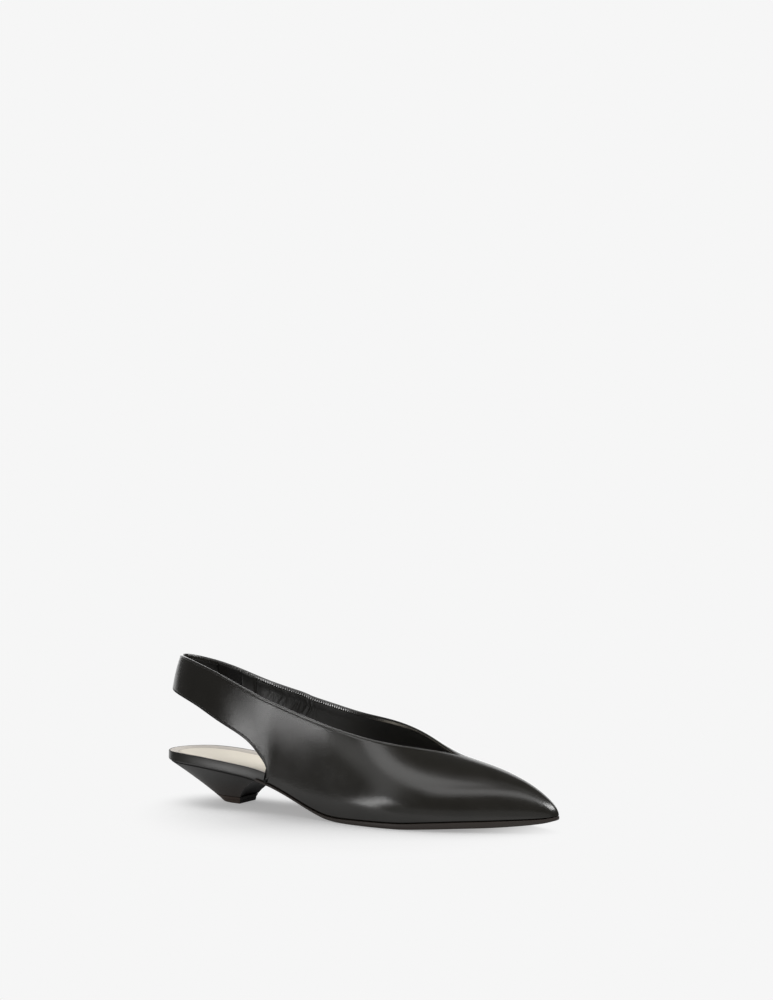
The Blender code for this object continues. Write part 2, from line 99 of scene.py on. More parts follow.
# cubic spline through the values, at even or given knots; an end can be held flat
def spline(values, at, flatStart=False, flatEnd=False, knots=None):
    values = np.asarray(values, float)
    knots = np.arange(len(values), dtype=float) if knots is None else np.asarray(knots, float)
    count = len(knots)
    step = np.diff(knots)
    slope = np.diff(values) / step
    matrix = np.zeros((count, count))
    right = np.zeros(count)
    for i in range(1, count - 1):
        matrix[i, i - 1:i + 2] = step[i - 1], 2 * (step[i - 1] + step[i]), step[i]
        right[i] = 6 * (slope[i] - slope[i - 1])
    matrix[0, 0] = matrix[-1, -1] = 1
    if flatStart:
        matrix[0, :2] = 2, 1
        right[0] = 6 * slope[0] / step[0]
    if flatEnd:
        matrix[-1, -2:] = 1, 2
        right[-1] = -6 * slope[-1] / step[-1]
    bend = np.linalg.solve(matrix, right)
    at = np.asarray(at, float)
    i = np.clip(np.searchsorted(knots, at, side="right") - 1, 0, count - 2)
    run = at - knots[i]
    first = slope[i] - step[i] * (2 * bend[i] + bend[i + 1]) / 6
    third = (bend[i + 1] - bend[i]) / (6 * step[i])
    return values[i] + run * (first + run * (bend[i] / 2 + run * third))


# height along the shoe that never overshoots its table
def profile(table, name, x):
    knots = np.array(table["x"], float)
    values = np.array(table[name], float)
    x = np.clip(np.asarray(x, float), knots[0], knots[-1])
    slope = np.diff(values) / np.diff(knots)
    tangent = np.concatenate(([slope[0]], np.zeros(len(slope) - 1), [slope[-1]]))
    for i in range(1, len(slope)):
        if slope[i - 1] * slope[i] > 0:
            tangent[i] = 2 * slope[i - 1] * slope[i] / (slope[i - 1] + slope[i])
    i = np.clip(np.searchsorted(knots, x, side="right") - 1, 0, len(slope) - 1)
    step = knots[i + 1] - knots[i]
    t = (x - knots[i]) / step
    start = values[i] * (1 + 2 * t) * (1 - t) ** 2 + tangent[i] * step * t * (1 - t) ** 2
    return start + values[i + 1] * t * t * (3 - 2 * t) + tangent[i + 1] * step * t * t * (t - 1)


def outline(side, x):
    turn = np.arccos(1 - 2 * np.clip(np.asarray(x, float) / shoe["length"], 0, 1))
    knots = np.arccos(1 - 2 * np.array(outlineTable["x"], float) / shoe["length"])
    return spline(outlineTable[side], turn, knots=knots)


def soleBottom(x):
    return profile(soleTable, "bottom", x)


def soleTop(x):
    return soleBottom(x) + profile(soleTable, "thickness", x)


def heelTop(x):
    return profile(seatTable, "top", x)


def sockTop(x):
    return profile(sockTable, "top", x)


# lower edge of the upper: on the sole as far as the quarter's corner, free behind it
def lowEdge(side, rows):
    def onSole(x):
        return x, sides[side] * outline(side, x), soleTop(x) + shoe["gap"]

    corner = shoe["cornerRow"]
    foot = spline(ribTables["footX"], np.minimum(rows, corner), flatStart=True)
    low = np.stack(onSole(np.minimum(foot, shoe["length"])), -1)
    behind = rows > corner
    for axis, (name, start) in enumerate(zip(("lowX", "lowY", "lowZ"), onSole(shoe["quarterX"]))):
        edge = (start,) + ribTables[side][name]
        low[behind, axis] = spline(edge, rows[behind] - corner, flatEnd=name != "lowY")
    return low


def topEdge(side, rows):
    edge = []
    for name in ("topX", "topY", "topZ"):
        edge.append(spline(ribTables[side][name], rows, flatStart=name == "topX", flatEnd=name != "topY"))
    return np.stack(edge, -1)


# outer face of the upper: one column for each row number, one point for each rise
def wallSurface(side, rows, rises):
    rows = np.asarray(rows, float)
    low, top = lowEdge(side, rows), topEdge(side, rows)
    turn = np.radians(spline(ribTables["turn"], rows))
    out = np.stack((-np.sin(turn), sides[side] * np.cos(turn), np.zeros(len(turn))), -1)
    up = np.array((0.0, 0.0, 1.0))
    reach = (spline(ribTables["full"], rows) * np.linalg.norm(top - low, axis=1))[:, None]
    lowLean = np.radians(spline(ribTables[side]["lowLean"], rows))[:, None]
    topLean = np.radians(spline(ribTables[side]["topLean"], rows))[:, None]
    near = low + reach * (out * np.cos(lowLean) + up * np.sin(lowLean))
    far = top - reach * (-out * np.cos(topLean) + up * np.sin(topLean))
    ridge = (topEdge("lateral", rows) + topEdge("medial", rows)) / 2
    pull = np.where((rows <= shoe["throatRow"])[:, None], ridge - top, 0)  # both sides end on one ridge
    t = np.asarray(rises, float)[None, :, None]
    low, near, far, top, pull = (p[:, None, :] for p in (low, near, far, top, pull))
    rib = low * (1 - t) ** 3 + 3 * near * t * (1 - t) ** 2 + 3 * far * t * t * (1 - t) + top * t ** 3
    return rib + pull * t ** shoe["ridgePull"]


def unit(vectors):
    return vectors / np.maximum(np.linalg.norm(vectors, axis=-1, keepdims=True), 1e-9)


# directions square to a closed flat outline, out of it
def outward(flat):
    tangent = np.roll(flat, -1, axis=0) - np.roll(flat, 1, axis=0)
    return unit(np.stack((tangent[:, 1], -tangent[:, 0]), -1))


mend = dict(weld=2e-6, collapse=1e-6)  # metres


def makePiece(name, points, faces, finish, smoothAngle=None, marks=None, edges=()):
    mesh = bpy.data.meshes.new(name)
    points = (np.asarray(points, float).reshape(-1, 3) - (shoe["length"] / 2, 0, 0)) * mm
    mesh.from_pydata(points.tolist(), list(edges), faces)
    for markName, values in (marks or {}).items():
        layer = mesh.attributes.new(markName, "FLOAT", "POINT")
        layer.data.foreach_set("value", np.asarray(values, np.float32).ravel())
    if finish:
        mesh.materials.append(finish)
    if faces:
        form = bmesh.new()
        form.from_mesh(mesh)
        bmesh.ops.remove_doubles(form, verts=form.verts, dist=mend["weld"])
        bmesh.ops.dissolve_degenerate(form, edges=form.edges, dist=mend["collapse"])
        bmesh.ops.recalc_face_normals(form, faces=form.faces)
        form.to_mesh(mesh)
        form.free()
        mesh.shade_smooth()
        if smoothAngle:
            mesh.set_sharp_from_angle(angle=math.radians(smoothAngle))
    made = bpy.data.objects.new(name, mesh)
    bpy.context.scene.collection.objects.link(made)
    return made


# turns what a piece's modifiers make into its own plain mesh
def settle(piece):
    shape = bpy.data.meshes.new_from_object(piece.evaluated_get(bpy.context.evaluated_depsgraph_get()))
    piece.modifiers.clear()
    piece.data = shape
    return piece


# a socket that takes part in Python expressions
class Wire:
    def __init__(self, bench, socket):
        self.bench = bench
        self.socket = socket

    def maths(self, operation, first, second):
        return self.bench.node("ShaderNodeMath", {"operation": operation}, {0: first, 1: second})

    def __add__(self, other):
        return self.maths("ADD", self, other)

    __radd__ = __add__

    def __sub__(self, other):
        return self.maths("SUBTRACT", self, other)

    def __rsub__(self, other):
        return self.maths("SUBTRACT", other, self)

    def __mul__(self, other):
        return self.maths("MULTIPLY", self, other)

    __rmul__ = __mul__

    def within(self, low, high):
        sockets = {"Value": self, "From Min": low, "From Max": high}
        return self.bench.node("ShaderNodeMapRange", {"interpolation_type": "SMOOTHSTEP"}, sockets)


# makes and wires the nodes of one tree
class Bench:
    def __init__(self, tree):
        self.tree = tree

    def node(self, kind, settings=None, sockets=None, output=0):
        made = self.tree.nodes.new(kind)
        for name, value in (settings or {}).items():
            setattr(made, name, value)
        for name, value in (sockets or {}).items():
            if isinstance(value, Wire):
                self.tree.links.new(value.socket, made.inputs[name])
            else:
                made.inputs[name].default_value = value
        return Wire(self, made.outputs[output])

    def feed(self, target, wires):
        for socket, wire in wires.items():
            self.tree.links.new(wire.socket, target.inputs[socket])

    def place(self):
        return self.node("ShaderNodeTexCoord", output="Object")

    def axis(self, place, name):
        return self.node("ShaderNodeSeparateXYZ", None, {"Vector": place}, name)

    def noise(self, place, scale, detail=3.0, roughness=0.5):
        sockets = {"Vector": place, "Scale": scale, "Detail": detail, "Roughness": roughness}
        return self.node("ShaderNodeTexNoise", None, sockets)

    def cells(self, place, scale, feature="F1"):
        return self.node("ShaderNodeTexVoronoi", {"feature": feature}, {"Vector": place, "Scale": scale})

    def mark(self, name):
        return self.node("ShaderNodeAttribute", {"attribute_name": name}, output="Fac")

    def colour(self, factor, first, second):
        return self.node("ShaderNodeMix", {"data_type": "RGBA"}, {0: factor, 6: first, 7: second}, 2)

    def bump(self, height, strength, distance):
        sockets = {"Height": height, "Strength": strength, "Distance": distance}
        return self.node("ShaderNodeBump", None, sockets)


def newFinish(name, fixed):
    material = bpy.data.materials.new(name)
    material.use_nodes = True
    shader = material.node_tree.nodes["Principled BSDF"]
    for socket, value in fixed.items():
        shader.inputs[socket].default_value = value
    return material, Bench(material.node_tree), shader


# painted shade: the heel's concave front face is darkened in colour and made rougher
def hollowShade(bench, look, tone, rough):
    breast = bench.mark("breast").within(*look["hollowAt"])
    return breast, bench.colour(breast, tone, look["hollow"]), rough + look["hollowRough"] * breast


# smooth calf: a faint pebble in the gloss, slightly uneven polish
def calfFinish(name, look):
    material, bench, shader = newFinish(name, {
        "Specular IOR Level": look["specular"], "Coat IOR": look["coatIor"],
        "Coat Roughness": look["coatRough"]})
    place = bench.place()
    polish = bench.noise(place, look["polishScale"])
    pebble = bench.noise(place, look["pebbleScale"], roughness=look["pebbleRough"])
    height = pebble
    if look["pores"]:
        height = pebble + look["pores"] * bench.cells(place, look["poreScale"], "SMOOTH_F1")
    tone = bench.colour(polish, look["deep"], look["worn"])
    rough = look["roughness"] + look["spread"] * (polish + pebble - 1.0)
    coat = look["coat"] * polish.within(*look["polished"])
    if "edges" in look:
        raw = bench.mark("rawEdge")  # matt cut edge below
        turned = bench.mark("turnedEdge")  # polished fold along the topline
        tone = bench.colour(raw, tone, look["raw"])
        rough = rough + look["rawRough"] * raw - look["turnedGloss"] * turned
        coat = coat * (1 - raw) + look["edgeCoat"] * turned
    # painted shade: inside the forefoot the lining's colour turns near black, and it turns matt
    if "toeShadeAt" in look:  # matt inside the forefoot
        toeShade = bench.axis(place, "X").within(*look["toeShadeAt"])
        tone = bench.colour(toeShade, tone, look["raw"])
        rough = rough + look["dullRough"] * toeShade
    if "brown" in look:  # browner, lighter and rougher towards the ground
        low = 1 - (bench.axis(place, "Z") + look["wander"] * polish).within(*look["brownAt"])
        tone = bench.colour(look["browned"] * low, tone, look["brown"])
        rough = rough + look["brownRough"] * low
    # painted shade on the heel's concave front face, which also loses its coat
    if "hollow" in look:
        breast, tone, rough = hollowShade(bench, look, tone, rough)
        coat = coat * (1 - breast)
    if "flex" in look:  # smoother when lasted, drawn where the ball bends
        along = bench.axis(place, "X")
        height = height * (1 - look["lasted"] * along.within(*look["lastedAt"]))
        start, full, fade, end = look["flexAt"]
        bent = along.within(start, full) * (1 - along.within(fade, end))
        drawn = bench.node("ShaderNodeMapping", None, {"Vector": place, "Scale": look["flexDraw"]})
        height = height + look["flex"] * bent * bench.noise(drawn, look["flexScale"])
    relief = bench.bump(height, look["grain"], look["grainDepth"])
    bench.feed(shader, {"Base Color": tone, "Roughness": rough, "Coat Weight": coat, "Normal": relief})
    return material


# plain matter: one fine noise in its tone, gloss and relief
def fibreFinish(name, look):
    material, bench, shader = newFinish(name, look["fixed"])
    fibre = bench.noise(bench.place(), *look["noise"])
    tone = bench.colour(fibre, look["dark"], look["light"])
    rough = look["roughness"] + look["spread"] * fibre
    # painted shade on the heel tip's concave front face
    if "hollow" in look:
        _, tone, rough = hollowShade(bench, look, tone, rough)
    bench.feed(shader, {"Base Color": tone, "Roughness": rough})
    if "relief" in look:
        bench.feed(shader, {"Normal": bench.bump(fibre, *look["relief"])})
    return material


# leather with another tone inside its border, and soil in clouds
def borderedFinish(name, look):
    material, bench, shader = newFinish(name, {"Specular IOR Level": look["specular"]})
    place = bench.place()
    inside = bench.mark("edgeDistance")
    fine = bench.noise(place, *look["fine"])
    cloud = bench.noise(place, look["cloudScale"])
    panel = inside.within(*look["panelAt"])
    tone = bench.colour(panel, look["edge"], look["panel"])
    if "lineAt" in look:  # pressed line along the border, darkened in colour as painted shade in its groove
        start, full, fade, end = look["lineAt"]
        line = inside.within(start, full) * (1 - inside.within(fade, end))
        tone = bench.colour(look["creased"] * line, tone, look["lineShade"])
    shade = look["clouds"] * (cloud - 0.5) + look["specks"] * (fine - 0.5) + look["soiled"]
    rough = look["roughness"] + look["spread"] * fine + look["panelRough"] * panel
    height = fine + look["pores"] * bench.cells(place, look["poreScale"]) if "pores" in look else fine
    bench.feed(shader, {"Base Color": bench.colour(shade, tone, look["soil"]), "Roughness": rough,
                        "Normal": bench.bump(height, *look["relief"])})
    return material


blackCalf = dict(deep=(0.0080, 0.0073, 0.0058, 1), worn=(0.0125, 0.0114, 0.0092, 1), specular=0.42,
                 roughness=0.205, spread=0.10, coat=0.06, coatRough=0.22, coatIor=1.5,
                 raw=(0.003, 0.003, 0.003, 1), rawRough=0.35, turnedGloss=0.08, edgeCoat=0.9,
                 polishScale=70.0, polished=(0.25, 0.75), pebbleScale=1100.0, pebbleRough=0.6,
                 poreScale=1500.0, pores=0.5, grain=0.5, grainDepth=0.00012)
flexedCalf = dict(blackCalf, edges=True, lasted=0.4, lastedAt=(-0.03, 0.02), flex=0.4,
                  flexAt=(0.005, 0.02, 0.04, 0.06), flexDraw=(1.0, 1.0, 0.5), flexScale=850.0)

quarterCalm = dict(reach=7.0, fade=(62.0, 74.0, 106.0, 120.0), rise=(2.0, 12.0), rows=(6.3, 13.6, 56),
                   rises=(0.0, 1.0, 26), least=0.001, batch=1500)


# the ribs bunch at the quarter's corner: refit the skin there to a smooth local surface
def calmQuarter(side, points):
    x = points[..., 0]
    back, full, front, end = quarterCalm["fade"]
    share = np.clip((x - back) / (full - back), 0, 1) * np.clip((end - x) / (end - front), 0, 1)
    low, high = quarterCalm["rise"]  # above the sole, which keeps its own line
    share = share * np.clip((points[..., 2] - soleTop(x) - low) / (high - low), 0, 1)
    share = share * share * (3 - 2 * share)
    rows, rises = (np.linspace(*quarterCalm[key]) for key in ("rows", "rises"))
    known = wallSurface(side, rows, rises).reshape(-1, 3)
    pick = np.argwhere(share > quarterCalm["least"])
    for group in np.array_split(pick, max(1, len(pick) // quarterCalm["batch"])):
        at = points[group[:, 0], group[:, 1]]
        dx, dz = known[None, :, 0] - at[:, None, 0], known[None, :, 2] - at[:, None, 2]
        weight = np.exp(-(dx * dx + dz * dz) / quarterCalm["reach"] ** 2)
        basis = np.stack((np.ones_like(dx), dx, dz, dx * dx, dx * dz, dz * dz), -1)
        weighted = basis * weight[..., None]
        left = np.einsum("nki,nkj->nij", weighted, basis) + 1e-9 * np.eye(6)
        right = np.einsum("nki,k->ni", weighted, known[:, 1])
        fit = np.linalg.solve(left, right[..., None])[:, 0, 0]
        blend = share[group[:, 0], group[:, 1]]
        points[group[:, 0], group[:, 1], 1] += blend * (fit - at[:, 1])
    return points


wallForm = dict(leastShare=0.4, toeFade=14, topShare=0.45, far=99.0)


# geometry of one side of the upper: dense points, normals and the frames of both edges
def sideForm(side, rows, ribPoints):
    points = wallSurface(side, rows, np.linspace(0, 1, ribPoints))
    reach = np.linalg.norm(np.diff(points, axis=1), axis=2)
    arc = np.concatenate((np.zeros((len(rows), 1)), np.cumsum(reach, axis=1)), axis=1)
    points = calmQuarter(side, points)
    up = np.gradient(points, axis=1)
    along = np.gradient(points, axis=0)
    along[-1] = (0, -sides[side], 0)  # both sides meet square at the back
    normals = unit(sides[side] * np.cross(along, up))
    normals[0] = normals[1]
    form = {"side": side, "rows": rows, "points": points, "normals": normals, "arc": arc, "total": arc[:, -1]}
    for edge, at, way in (("top", -1, 1.0), ("low", 0, -1.0)):
        tangent = np.gradient(points[:, at], axis=0)
        tangent[-1] = (0, -sides[side], 0)
        rib = unit(up[:, at]) * way
        out = unit(np.cross(normals[:, at], tangent))
        out = out * np.where(np.sum(out * rib, axis=1) < 0, -1, 1)[:, None]
        form[edge + "Out"] = out
        form[edge + "Share"] = np.clip(np.abs(np.sum(out * rib, axis=1)), wallForm["leastShare"], 1)
    return form


def upperForms(rows, ribPoints):
    forms = {side: sideForm(side, rows, ribPoints) for side in sides}
    tip = int(np.argmin(np.abs(rows - shoe["throatRow"])))
    # at the point of the V both edges share one frame
    normal = unit(sum(form["normals"][tip, -1] for form in forms.values()))
    out = sum(form["topOut"][tip + 2] for form in forms.values())
    out = unit(out - normal * np.dot(out, normal))
    for form in forms.values():
        form["normals"][tip, -1] = normal
        form["topOut"][tip] = out
        form["throat"] = tip
    return forms


def onRibs(form, distances):
    shape = distances.shape + (3,)
    points, normals = np.zeros(shape), np.zeros(shape)
    for i, at in enumerate(distances):
        for axis in range(3):
            points[i, :, axis] = np.interp(at, form["arc"][i], form["points"][i, :, axis])
            normals[i, :, axis] = np.interp(at, form["arc"][i], form["normals"][i, :, axis])
    return points, unit(normals)


# soft troughs (depth above 0) and ridges of the worn-in form; each row of creases is side, x, z,
# length, width, angle, depth
def creaseDepth(creases, side, points):
    depth = np.zeros(points.shape[:2])
    for on, x, z, length, width, angle, deep in creases:
        if on != side:
            continue
        dx, dz = points[..., 0] - x, points[..., 2] - z
        cos, sin = math.cos(math.radians(angle)), math.sin(math.radians(angle))
        along, across = dx * cos + dz * sin, dz * cos - dx * sin
        depth += deep * np.exp(-(along / length) ** 2 - (across / width) ** 2)
    return depth


# rings around the section of a layer of the upper, with rounded free edges
def wallRings(form, layer):
    rows, total = form["rows"], form["total"]
    closed = rows < shoe["throatRow"]
    thin = np.clip(total / wallForm["toeFade"], 0, 1)  # everything narrows into the toe tip
    far, rolled = wallForm["far"], layer["rollSteps"]
    face, back = layer["faceDepth"], layer["backDepth"]
    radius = (back - face) / 2 * thin
    topMargin = np.where(closed, 0, layer["topMargin"])
    steps = np.array(layer["edgeSteps"])
    fromLow = (layer["lowMargin"] + steps)[None] * (thin / form["lowShare"])[:, None]
    fromTop = (topMargin[:, None] + steps[None]) * (thin / form["topShare"])[:, None]
    fromTop = np.minimum(fromTop, wallForm["topShare"] * total[:, None])
    start, end = fromLow[:, -1:], total[:, None] - fromTop[:, -1:]
    share = (np.arange(1, layer["middle"] + 1) / (layer["middle"] + 1))[None]
    at = np.concatenate((fromLow, start + (end - start) * share, total[:, None] - fromTop[:, ::-1]), axis=1)
    points, normals = onRibs(form, at)
    topDistance = np.where(closed[:, None], far, (total[:, None] - at) * form["topShare"][:, None])
    lowDistance = np.where((rows <= shoe["cornerRow"])[:, None], far, at * form["lowShare"][:, None])
    distance = np.minimum(topDistance, lowDistance)
    groove = layer["groove"]
    lift = -groove["depth"] * np.exp(-((distance - groove["at"]) / groove["width"]) ** 2)
    lift -= creaseDepth(layer["creases"], form["side"], points)
    outer = points - normals * (face * thin[:, None] - lift)[..., None]
    pick = np.arange(len(steps) - 1, at.shape[1] - len(steps) + 1, 2)
    wrinkle = creaseDepth(layer["wrinkles"], form["side"], points)
    inner = (points - normals * (back * thin[:, None] + wrinkle)[..., None])[:, pick][:, ::-1]
    rolls = {}
    for edge, index, margin in (("top", -1, topMargin), ("low", 0, np.full(len(rows), layer["lowMargin"]))):
        tip, normal, out = form["points"][:, index], form["normals"][:, index], form[edge + "Out"]
        centre = tip - out * (margin * thin + radius)[:, None] - normal * (face * thin + radius)[:, None]
        angles = np.linspace(0, math.pi, rolled)[None, :, None]
        around = np.cos(angles) * normal[:, None] + np.sin(angles) * out[:, None]
        rolls[edge] = centre[:, None] + radius[:, None, None] * around
    ridge, up = form["points"][:, -1], form["normals"][:, -1]
    rolls["top"][closed, 0] = (ridge - up * (face * thin)[:, None])[closed]
    rolls["top"][closed, -1] = (ridge - up * (back * thin)[:, None])[closed]
    rings = np.concatenate((rolls["low"][:, :1], outer, rolls["top"], inner, rolls["low"][:, :0:-1]), axis=1)
    edgeMark = np.zeros(rings.shape[:2])
    rollStart = 1 + outer.shape[1]
    edgeMark[:, 1:rollStart] = distance
    edgeMark[:, rollStart + rolled:rollStart + rolled + inner.shape[1]] = far
    edgeMark[rows <= shoe["cornerRow"], 0] = far
    turned, raw = np.zeros(edgeMark.shape), np.zeros(edgeMark.shape)
    turned[~closed, rollStart:rollStart + rolled] = 1
    lowRoll = [0] + list(range(edgeMark.shape[1] - rolled + 1, edgeMark.shape[1]))
    raw[np.ix_(rows > shoe["cornerRow"], lowRoll)] = 1
    return rings, {"edgeDistance": edgeMark, "turnedEdge": turned, "rawEdge": raw}, rollStart


def wallLayer(name, forms, layer, finish):
    rings, sideMarks = {}, {}
    for side, form in forms.items():
        rings[side], sideMarks[side], rollStart = wallRings(form, layer)
    rollEnd = rollStart + layer["rollSteps"] - 1
    tip = forms["lateral"]["throat"]
    shared = np.zeros(rings["lateral"].shape[:2], bool)
    shared[:tip, [rollStart, rollEnd]] = True
    shared[tip, rollStart:rollEnd + 1] = True
    shared[-1] = shared[0] = True
    middle = (rings["lateral"] + rings["medial"]) / 2
    columns, slots = shared.shape
    points, faces = [], []
    for order, side in enumerate(sides):
        points.append(np.where(shared[..., None], middle, rings[side]))
        first = order * columns * slots
        for i in range(columns - 1):
            for j in range(slots):
                if i < tip and rollStart <= j < rollEnd:
                    continue
                k = (j + 1) % slots
                a, b = first + i * slots, first + (i + 1) * slots
                faces.append((a + j, b + j, b + k, a + k))
    marks = {}
    for mark in sideMarks["lateral"]:
        marks[mark] = np.concatenate([sideMarks[side][mark].ravel() for side in sides])
    return makePiece(name, np.concatenate([p.reshape(-1, 3) for p in points]), faces, finish, None, marks)


upperLook = {
    "faceDepth": 0.0, "backDepth": 1.6, "topMargin": 0.0, "lowMargin": 0.0, "rollSteps": 9, "middle": 30,
    "edgeSteps": (0.95, 1.1, 1.25, 1.4, 1.6, 1.9, 2.6, 4.0), "columnsPerRow": 16, "ribPoints": 91,
    "groove": {"depth": 0.16, "at": 1.35, "width": 0.3}, "wrinkles": (),
    "creases": (
        ("lateral", 138.0, 24.0, 20.0, 7.0, -18, 0.2), ("lateral", 160.0, 15.0, 18.0, 6.0, -6, -0.25),
        ("lateral", 196.0, 24.0, 24.0, 6.0, -14, 0.15), ("medial", 160.0, 22.0, 18.0, 7.0, -8, -0.2),
        ("lateral", 108.0, 16.0, 26.0, 5.5, -19, -0.4)),
}

# fine upright puckers where the lining is drawn in behind the quarter:
# x and z by start and step, the rest by mean, swing and pace
puckerLook = dict(count=15, x=(44.0, 3.3), z=(63.0, -0.35), length=(8.0, 2.5, 2.4), width=(1.0, 0.3, 3.7),
                  angle=(68, 14, 1.9), depth=(0.0, 0.34, 5.3))


def puckerRow(i):
    def wave(key, curve):
        mean, swing, pace = puckerLook[key]
        return mean + swing * curve(pace * i)

    x, z = (start + step * i for start, step in (puckerLook["x"], puckerLook["z"]))
    return ("medial", x, z, wave("length", math.sin), wave("width", math.cos), wave("angle", math.sin),
            wave("depth", math.cos))


# in the forefoot the lining takes its raw colour, a painted shade deep inside the toe, and turns matt
liningSkin = dict(blackCalf, deep=(0.0045, 0.0042, 0.0036, 1), worn=(0.008, 0.0074, 0.0064, 1), specular=0.4,
                  roughness=0.36, spread=0.12, coat=0.0, grain=0.2, raw=(0.0012, 0.0012, 0.001, 1),
                  toeShadeAt=(-0.03, 0.005), dullRough=0.5)
tabSkin = dict(liningSkin, specular=0.14, roughness=0.5)
liningLook = dict(faceDepth=1.62, backDepth=1.88, topMargin=2.75, lowMargin=0.75, rollSteps=5, middle=60,
                  edgeSteps=(0.3, 0.6, 1.0, 1.6, 2.6, 4.0), groove=dict(depth=0.0, at=0.0, width=1.0),
                  creases=(), wrinkles=[puckerRow(i) for i in range(puckerLook["count"])])


def edgePath(form, edge, fromRow, toRow, distance, depth):
    pick = (form["rows"] >= fromRow) & (form["rows"] <= toRow)
    run = distance / form[edge + "Share"]
    at = form["total"] - run if edge == "top" else run
    points, normals = onRibs(form, at[:, None])
    return (points - normals * depth)[pick, 0]


# the turned edge seen inside the topline
foldLook = dict(start=0.6, end=2.35, depth=1.5, thickness=0.46, pitch=1.65, pucker=0.15, sharp=0.8,
                off=0.01, fromRow=4.1, columnsPerRow=64, ribPoints=31, smooth=60,
                steps=(0.0, 0.05, 0.2, 0.4, 0.6, 0.8, 0.93, 1.0),
                swell=(0.0, 0.24, 0.4, 0.58, 0.76, 0.93, 1.0, 0.2))
foldSkin = dict(blackCalf, specular=1.0, roughness=0.17, spread=0.08, coat=1.0, coatIor=1.8, grain=0.1)


# closed band between two sheets of points
def band(name, outer, inner, finish, smoothAngle):
    return loft(name, np.concatenate((outer, inner[:, ::-1]), axis=1), finish, smoothAngle)


def buildFold(name, form, finish):
    pick = form["rows"] >= foldLook["fromRow"]
    depths = foldLook["start"] + (foldLook["end"] - foldLook["start"]) * np.array(foldLook["steps"])
    at = form["total"][:, None] - depths[None] / form["topShare"][:, None]
    points, normals = onRibs(form, at)
    points, normals = points[pick], normals[pick]
    run = np.linalg.norm(np.diff(points[:, -1], axis=0), axis=1)
    run = np.concatenate(((0,), np.cumsum(run)))
    pucker = foldLook["pucker"] * np.abs(np.sin(math.pi * run / foldLook["pitch"])) ** foldLook["sharp"]
    lift = np.array(foldLook["swell"])[None] * (foldLook["thickness"] - foldLook["pucker"] + pucker)[:, None]
    base = points - normals * foldLook["depth"]
    face = points - normals * (foldLook["depth"] + foldLook["off"] + lift)[..., None]
    return band(name, base, face, finish, foldLook["smooth"])


# Geometry Nodes: a new group with named inputs, which come back as wires
def openTree(name, inputs):
    tree = bpy.data.node_groups.new(name, "GeometryNodeTree")
    for socket, kind in (("Geometry", "Geometry"), *inputs):
        tree.interface.new_socket(socket, in_out="INPUT", socket_type="NodeSocket" + kind)
    tree.interface.new_socket("Geometry", in_out="OUTPUT", socket_type="NodeSocketGeometry")
    bench = Bench(tree)
    group = tree.nodes.new("NodeGroupInput")
    return bench, {socket.name: Wire(bench, socket) for socket in group.outputs if socket.name}


def closeTree(bench, shape, finish):
    shape = bench.node("GeometryNodeRealizeInstances", None, {"Geometry": shape})
    shape = bench.node("GeometryNodeSetMaterial", None, {"Geometry": shape, "Material": finish})
    bench.feed(bench.tree.nodes.new("NodeGroupOutput"), {"Geometry": shape})
    return bench.tree


stitchLook = dict(pitch=1.5, length=1.2, thread=0.36, fromEdge=1.35, lift=0.02, seed=7, topRows=(4.15, 16),
                  lowRows=(9.25, 16), sway=0.07, bead=dict(Segments=6, Rings=5, Radius=0.5))
threadLook = dict(fixed={"Specular IOR Level": 0.6, "Coat Roughness": 0.2, "Coat Weight": 0.6},
                  noise=(2600.0, 2.0), dark=(0.012, 0.011, 0.010, 1), light=(0.035, 0.032, 0.030, 1),
                  roughness=0.26, spread=0.16)


# small round stitches in file along every line of the input mesh
def stitchTree(finish):
    floats = (("Pitch", "Float"), ("Length", "Float"), ("Thread", "Float"))
    bench, given = openTree("stitchRows", floats + (("Seed", "Int"),))
    line = bench.node("GeometryNodeMeshToCurve", None, {"Mesh": given["Geometry"]})
    spots = bench.node("GeometryNodeCurveToPoints", {"mode": "LENGTH"},
                       {"Curve": line, "Length": given["Pitch"]})
    turn = Wire(bench, spots.socket.node.outputs["Rotation"])
    bead = bench.node("GeometryNodeMeshUVSphere", None, stitchLook["bead"])
    size = {"X": given["Thread"], "Y": given["Thread"], "Z": given["Length"]}
    size = bench.node("ShaderNodeCombineXYZ", None, size)
    bead = bench.node("GeometryNodeTransform", None, {"Geometry": bead, "Scale": size})
    bead = bench.node("GeometryNodeSetShadeSmooth", None, {"Geometry": bead})
    most = stitchLook["sway"]
    sway = bench.node("FunctionNodeRandomValue", {"data_type": "FLOAT_VECTOR"},
                      {0: (-most, -most, 0.0), 1: (most, most, 0.0), "Seed": given["Seed"]})
    sway = bench.node("FunctionNodeEulerToRotation", None, {"Euler": sway})
    turn = bench.node("FunctionNodeRotateRotation", {"rotation_space": "LOCAL"},
                      {"Rotation": turn, "Rotate By": sway})
    rows = {"Points": spots, "Instance": bead, "Rotation": turn}
    return closeTree(bench, bench.node("GeometryNodeInstanceOnPoints", None, rows), finish)


# a round cord along every line of the input mesh
def cordTree(finish):
    bench, given = openTree("elasticRibs", (("Radius", "Float"),))
    line = bench.node("GeometryNodeMeshToCurve", None, {"Mesh": given["Geometry"]})
    ring = bench.node("GeometryNodeCurvePrimitiveCircle", {"mode": "RADIUS"},
                      {"Resolution": goreLook["cordSides"], 4: given["Radius"]})
    cords = {"Curve": line, "Profile Curve": ring, "Fill Caps": True}
    cords = bench.node("GeometryNodeCurveToMesh", None, cords)
    cords = bench.node("GeometryNodeSetShadeSmooth", None, {"Geometry": cords})
    return closeTree(bench, cords, finish)


